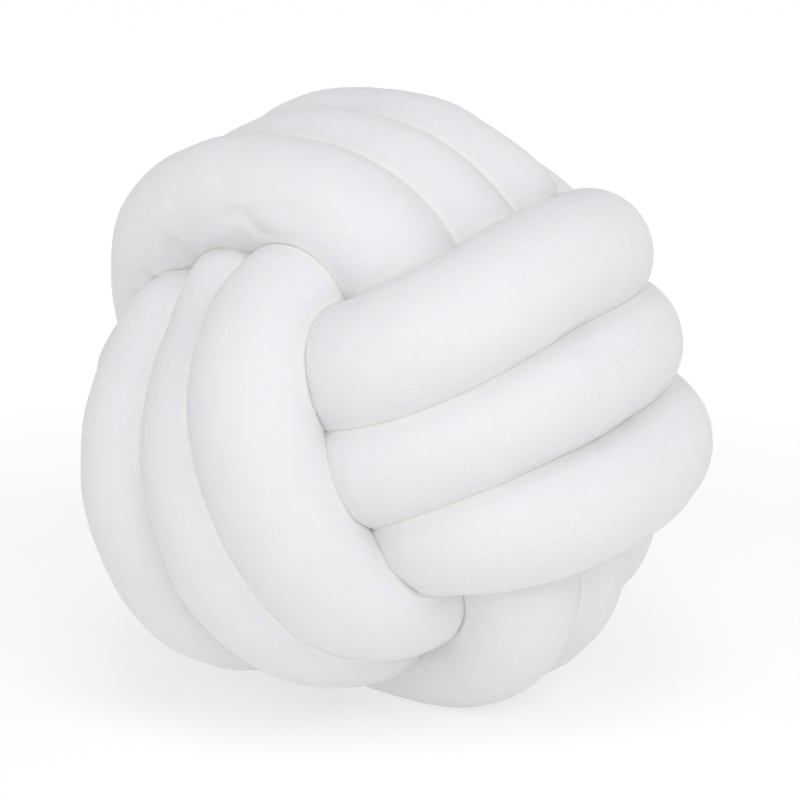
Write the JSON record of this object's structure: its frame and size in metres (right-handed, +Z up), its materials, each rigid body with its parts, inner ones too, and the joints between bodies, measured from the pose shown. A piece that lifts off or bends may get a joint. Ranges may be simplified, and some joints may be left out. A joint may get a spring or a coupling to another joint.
{
  "type": "knot cushion",
  "caption": "Ball-shaped cushion: one long stuffed cloth tube tied into a round knot of three crossing bands.",
  "frame": {"origin": "middle of the ball's box, on the surface that the ball stands on", "axes": "+Z up, -Y towards the side that the picture shows, +X to the right as the picture shows it"},
  "size_m": [0.2934, 0.3108, 0.282],
  "materials": {
    "white_cloth": "matt soft white cloth with a very short nap"
  },
  "bodies": {
    "root": {"knot_tube": "white_cloth"}
  },
  "joints": []
}
